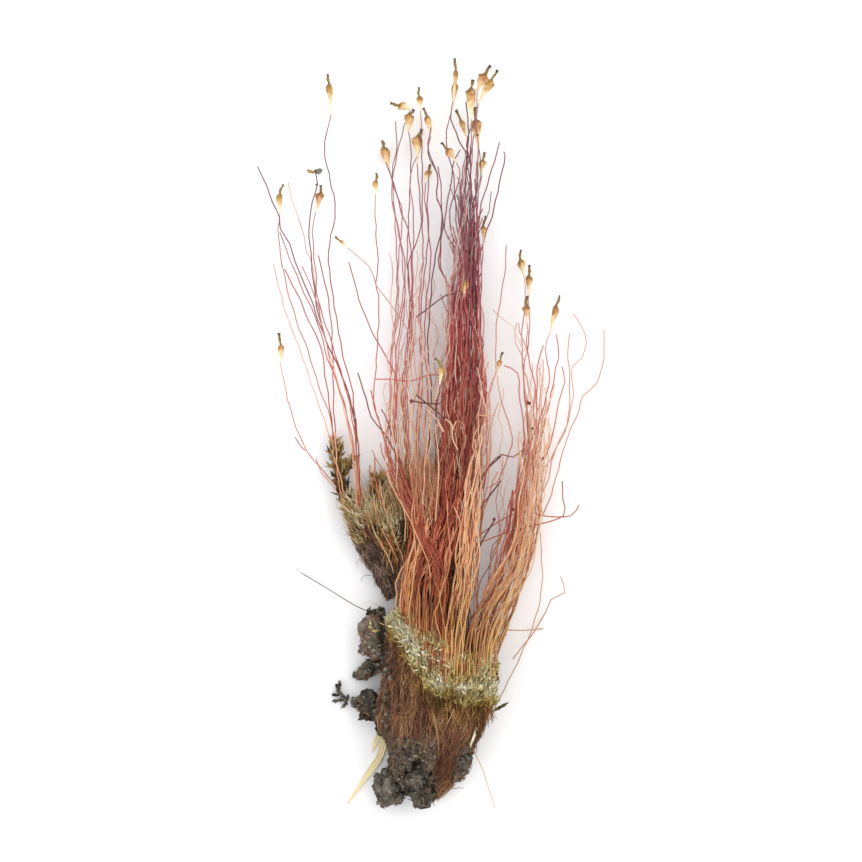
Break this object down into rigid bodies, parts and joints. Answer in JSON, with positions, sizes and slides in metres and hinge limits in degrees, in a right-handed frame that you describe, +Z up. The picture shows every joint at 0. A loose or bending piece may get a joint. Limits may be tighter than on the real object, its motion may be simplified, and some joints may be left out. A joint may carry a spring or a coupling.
{
  "type": "dried moss clump",
  "caption": "Dried clump of cruet collar moss lying on its side: brown felted foot with dung crumbs, olive leaf mat, long wiry red stalks with small flask-shaped capsules.",
  "frame": {"origin": "on the surface it lies on, under the middle of the clump's overall outline", "axes": "+Y from the felted foot towards the capsules, +Z up off the surface, +X to the right as seen from above"},
  "size_m": [0.0401, 0.0869, 0.0099],
  "materials": {
    "seta": "satin",
    "leaf": "matte",
    "felt": "matte",
    "dung": "matte",
    "straw": "satin"
  },
  "bodies": {
    "root": {"rhizoid_felt": "felt", "side_felt": "felt", "leaf_mat": "leaf", "leaves_under": "leaf", "side_leaves": "leaf", "shoot_narrow": "leaf", "shoot_tuft": "leaf", "setae_left_low": "seta", "setae_left_outer": "seta", "setae_left_middle": "seta", "setae_left_upper": "seta", "setae_inner_left_1": "seta", "setae_inner_left_2": "seta", "setae_inner_left_3": "seta", "setae_inner_left_4": "seta", "setae_centre_1": "seta", "setae_centre_2": "seta", "setae_centre_3": "seta", "setae_centre_4": "seta", "setae_centre_5": "seta", "setae_right_1": "seta", "setae_right_2": "seta", "setae_right_3": "seta", "setae_right_4": "seta", "dung_foot_left": "dung", "dung_foot_middle": "dung", "dung_foot_right": "dung", "dung_side_upper": "dung", "dung_side_middle": "dung", "dung_side_lower": "dung", "dung_crumb": "dung", "straw": "straw"}
  },
  "joints": []
}
